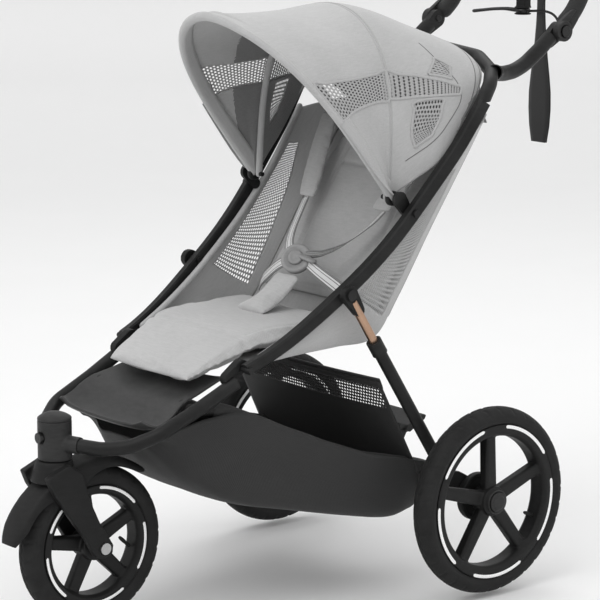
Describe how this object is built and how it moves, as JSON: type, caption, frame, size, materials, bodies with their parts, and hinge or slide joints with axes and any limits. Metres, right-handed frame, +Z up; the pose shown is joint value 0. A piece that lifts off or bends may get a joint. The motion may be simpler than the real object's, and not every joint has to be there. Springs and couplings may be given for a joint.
{
  "type": "jogging stroller",
  "caption": "Folding three-wheeled jogging stroller with a swivelling front wheel, padded seat, hooded canopy, basket and hand brake.",
  "frame": {"origin": "on the floor under the middle of the whole stroller's box", "axes": "+X to the stroller's left, +Y to its rear, +Z up"},
  "size_m": [0.626, 1.1148, 1.018],
  "materials": {
    "frame_black": "satin black powder coat",
    "rail_black": "satin black powder coat",
    "leg_black": "satin black anodised",
    "leg_copper": "satin copper",
    "plastic_black": "fine-textured moulded black",
    "plastic_gloss": "semi-gloss moulded black",
    "rim_black": "satin moulded black",
    "tyre_rubber": "matt tread rubber",
    "steel": "plain steel",
    "fabric_grey": "light grey woven polyester",
    "fabric_seat": "light grey woven polyester",
    "fabric_black": "black woven polyester",
    "webbing": "grey striped webbing",
    "webbing_black": "black webbing",
    "grip_foam": "black leatherette",
    "buckle_grey": "grey moulded plastic",
    "cable_black": "black cable sheath"
  },
  "bodies": {
    "front_frame": {"head_tube": "plastic_black", "head_cap": "plastic_gloss", "steering_bushes": "plastic_gloss", "front_tubes": "frame_black", "footrest_panel": "plastic_black", "fold_brackets": "plastic_black", "fold_pins": "steel"},
    "swivel_lock": {"swivel_button": "plastic_gloss"},
    "fork": {"fork": "plastic_black", "steerer_pin": "steel", "front_fender": "plastic_black", "front_axle": "steel"},
    "front_wheel": {"front_tyre": "tyre_rubber", "front_rim": "rim_black", "front_bearings": "steel"},
    "rear_frame": {"lower_rails": "rail_black", "axle_beam": "frame_black", "axle_brackets": "plastic_black", "rear_axles": "steel", "brake_drums": "plastic_gloss", "basket": "fabric_black", "basket_back": "fabric_black"},
    "brake_pedal": {"brake_pedal": "plastic_black"},
    "rear_wheel_left": {"rear_tyre_left": "tyre_rubber", "rear_rim_left": "rim_black", "rear_bearings_left": "steel", "rear_hub_cap_left": "plastic_gloss"},
    "rear_wheel_right": {"rear_tyre_right": "tyre_rubber", "rear_rim_right": "rim_black", "rear_bearings_right": "steel", "rear_hub_cap_right": "plastic_gloss"},
    "rear_legs": {"leg_tubes": "leg_black", "leg_inner_tubes": "leg_copper", "leg_knuckles": "plastic_black"},
    "upper_frame": {"side_bars": "frame_black", "top_crossbar": "frame_black", "handle_arms": "frame_black", "frame_pins": "plastic_gloss", "seat_pan": "fabric_seat", "calf_rest": "fabric_seat", "seat_side_left": "fabric_seat", "seat_side_right": "fabric_seat", "harness_webbing": "webbing", "buckle": "buckle_grey", "canopy_rear_panel": "fabric_grey"},
    "buckle_button": {"buckle_button": "buckle_grey"},
    "backrest": {"backrest_pad": "fabric_seat", "shoulder_pads": "fabric_seat"},
    "canopy_mid": {"canopy_mid_bow": "frame_black", "canopy_mid_panel": "fabric_grey"},
    "canopy_front": {"canopy_front_bow": "frame_black", "canopy_front_panel": "fabric_grey"},
    "grip": {"grip_bar": "grip_foam", "grip_pivots": "plastic_black", "lever_mount": "plastic_black", "brake_cable": "cable_black", "wrist_strap": "webbing_black"},
    "brake_lever": {"brake_lever": "plastic_gloss"},
    "handle_button_left": {"handle_button_left": "plastic_gloss"},
    "handle_button_right": {"handle_button_right": "plastic_gloss"}
  },
  "joints": [
    {"name": "swivel_lock_press", "type": "slide", "parent": "front_frame", "child": "swivel_lock", "axis": [0, 1, 0], "range_m": [0, 0.003], "stiffness_N_per_m": 900},
    {"name": "steer", "type": "hinge", "parent": "front_frame", "child": "fork", "pos_m": [0, -0.4686, 0.25], "axis": [0, 0, 1], "continuous": true},
    {"name": "front_wheel_spin", "type": "hinge", "parent": "fork", "child": "front_wheel", "pos_m": [0, -0.4046, 0.131], "axis": [1, 0, 0], "continuous": true},
    {"name": "fold", "type": "hinge", "parent": "front_frame", "child": "upper_frame", "pos_m": [0, -0.2136, 0.42], "axis": [1, 0, 0], "range_deg": [-80, 0], "deforming": ["harness_webbing", "basket", "basket_back"]},
    {"name": "rail_fold", "type": "hinge", "parent": "front_frame", "child": "rear_frame", "pos_m": [0, -0.2986, 0.36], "axis": [1, 0, 0], "range_deg": [-54.59, 0.5], "deforming": ["basket", "basket_back"]},
    {"name": "leg_fold", "type": "hinge", "parent": "upper_frame", "child": "rear_legs", "pos_m": [0, -0.0406, 0.528], "axis": [1, 0, 0], "range_deg": [-0.5, 34.14]},
    {"name": "rear_left_spin", "type": "hinge", "parent": "rear_frame", "child": "rear_wheel_left", "pos_m": [0.286, 0.2074, 0.159], "axis": [1, 0, 0], "continuous": true},
    {"name": "rear_right_spin", "type": "hinge", "parent": "rear_frame", "child": "rear_wheel_right", "pos_m": [-0.286, 0.2074, 0.159], "axis": [1, 0, 0], "continuous": true},
    {"name": "brake_press", "type": "hinge", "parent": "rear_frame", "child": "brake_pedal", "pos_m": [0, 0.1814, 0.163], "axis": [1, 0, 0], "range_deg": [-14, 0]},
    {"name": "recline", "type": "hinge", "parent": "upper_frame", "child": "backrest", "pos_m": [0, 0.0554, 0.45], "axis": [1, 0, 0], "range_deg": [-25, 0], "deforming": ["seat_side_left", "seat_side_right", "harness_webbing"]},
    {"name": "canopy_fold", "type": "hinge", "parent": "upper_frame", "child": "canopy_mid", "pos_m": [0, 0.0774, 0.67], "axis": [1, 0, 0], "range_deg": [-42, 0], "deforming": ["canopy_mid_panel", "canopy_front_panel", "canopy_rear_panel"]},
    {"name": "visor_fold", "type": "hinge", "parent": "canopy_mid", "child": "canopy_front", "pos_m": [0, 0.0774, 0.67], "axis": [1, 0, 0], "range_deg": [-34.1, 0.5], "deforming": ["canopy_front_panel"]},
    {"name": "grip_tilt", "type": "hinge", "parent": "upper_frame", "child": "grip", "pos_m": [0, 0.4744, 0.919], "axis": [1, 0, 0], "range_deg": [-55, 15], "deforming": ["wrist_strap"]},
    {"name": "brake_squeeze", "type": "hinge", "parent": "grip", "child": "brake_lever", "pos_m": [0.01, 0.5314, 0.941], "axis": [0, 0, 1], "range_deg": [-22, 0], "stiffness_Nm_per_rad": 0.6},
    {"name": "left_button_press", "type": "slide", "parent": "grip", "child": "handle_button_left", "axis": [-1, 0, 0], "range_m": [0, 0.003], "stiffness_N_per_m": 700},
    {"name": "right_button_press", "type": "slide", "parent": "grip", "child": "handle_button_right", "axis": [1, 0, 0], "range_m": [0, 0.003], "stiffness_N_per_m": 700},
    {"name": "buckle_press", "type": "slide", "parent": "upper_frame", "child": "buckle_button", "axis": [-0.4206, 0.721, -0.5507], "range_m": [0, 0.0025], "stiffness_N_per_m": 700}
  ],
  "couplings": [
    {"joint": "rail_fold", "follows": "fold", "ratio": 0.6761},
    {"joint": "leg_fold", "follows": "fold", "ratio": -0.4205},
    {"joint": "visor_fold", "follows": "canopy_fold", "ratio": 0.8}
  ]
}
